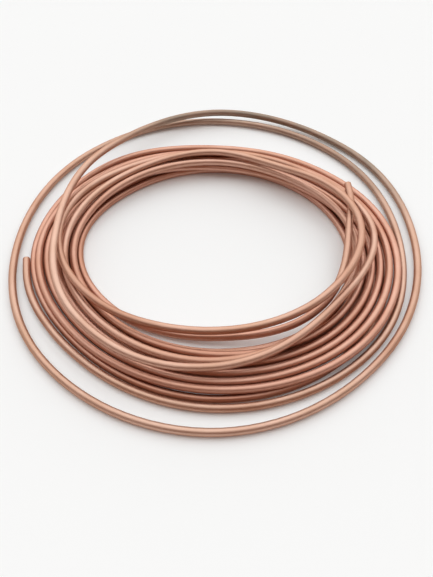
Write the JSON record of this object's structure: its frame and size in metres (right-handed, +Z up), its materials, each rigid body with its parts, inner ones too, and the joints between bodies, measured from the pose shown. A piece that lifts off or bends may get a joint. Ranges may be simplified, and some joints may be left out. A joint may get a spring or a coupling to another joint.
{
  "type": "copper tube coil",
  "caption": "Loose coil of thin soft copper tube lying flat, a bundle of round turns with wide sprung outer loops and two cut open ends, for refrigeration and instrument lines.",
  "frame": {"origin": "on the floor, under the middle of the coil's outline", "axes": "+X to the right of the picture, +Y to its back, +Z up"},
  "size_m": [0.2624, 0.2832, 0.0259],
  "materials": {
    "copper": "satin drawn copper"
  },
  "bodies": {
    "root": {"copper_tube": "copper"}
  },
  "joints": []
}
